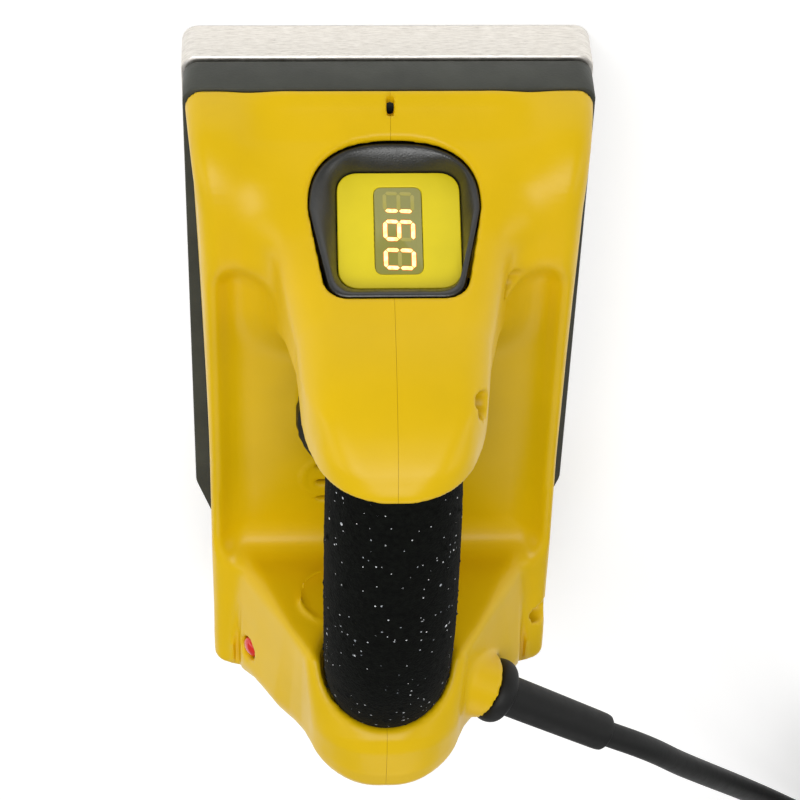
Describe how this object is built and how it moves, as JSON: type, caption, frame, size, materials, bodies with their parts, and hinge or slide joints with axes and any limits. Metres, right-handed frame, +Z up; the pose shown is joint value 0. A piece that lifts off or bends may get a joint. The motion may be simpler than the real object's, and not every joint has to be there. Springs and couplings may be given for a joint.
{
  "type": "waxing iron",
  "caption": "Digital ski waxing iron with a thick aluminium sole, closed D-handle with foam grip, sloping display and temperature dial.",
  "frame": {"origin": "middle of the sole plate's working face, which rests on Z = 0", "axes": "+Z up out of the sole, +Y to the nose with the display, +X to the right seen from the handle"},
  "size_m": [0.2996, 0.329, 0.1141],
  "materials": {
    "brushed_sole": "finely milled and brushed",
    "skirt_plastic": "fine moulded grain",
    "steel": "zinc plated",
    "ceramic_white": "white steatite",
    "element_sheath": "heat-dulled sheath",
    "bright_sheet": "bright sheet",
    "yellow_plastic": "satin gloss moulding",
    "bezel_plastic": "fine leather grain",
    "panel_face": "matt printed foil",
    "window_lens": "smooth lens",
    "led_face": "smoked",
    "circuit_board": "solder mask",
    "black_plastic": "satin",
    "grip_foam": "closed-cell foam with light specks",
    "brass": "turned",
    "red_lens": "clear red",
    "cord_rubber": "matt rubber sheath",
    "wire_sleeve": "braided sleeve",
    "tie_strap": "ribbed strap"
  },
  "bodies": {
    "iron": {"sole_plate": "brushed_sole", "heat_skirt": "skirt_plastic", "sole_screws": "steel", "insulating_spacers": "ceramic_white", "heating_element": "element_sheath", "element_clamp": "steel", "clamp_screws": "steel", "temperature_sensor": "steel", "sensor_clip": "steel", "thermal_cutout": "black_plastic", "heat_shield": "bright_sheet", "left_shell": "yellow_plastic", "right_shell": "yellow_plastic", "shell_screws": "steel", "display_bezel": "bezel_plastic", "display_panel": "panel_face", "display_window": "window_lens", "led_module": "led_face", "display_board": "circuit_board", "handle_core": "black_plastic", "foam_grip": "grip_foam", "dial_bushing": "brass", "dial_nut": "steel", "control_potentiometer": "black_plastic", "power_board": "circuit_board", "power_triac": "black_plastic", "terminal_block": "ceramic_white", "pilot_lamp": "red_lens", "cord_gland": "cord_rubber", "strain_relief": "cord_rubber", "cord_clamp": "black_plastic", "clamp_plate_screws": "steel", "element_leads": "wire_sleeve", "display_leads": "wire_sleeve", "power_cord": "cord_rubber", "cord_coil": "cord_rubber", "cord_tie": "tie_strap", "cord_end": "cord_rubber", "plug_body": "cord_rubber", "plug_pins": "steel"},
    "dial": {"temperature_dial": "black_plastic", "dial_shaft": "steel"}
  },
  "joints": [
    {"name": "dial_turn", "type": "hinge", "parent": "iron", "child": "dial", "pos_m": [0, -0.011, 0.0465], "axis": [0, 0, 1], "range_deg": [-135, 135]}
  ]
}
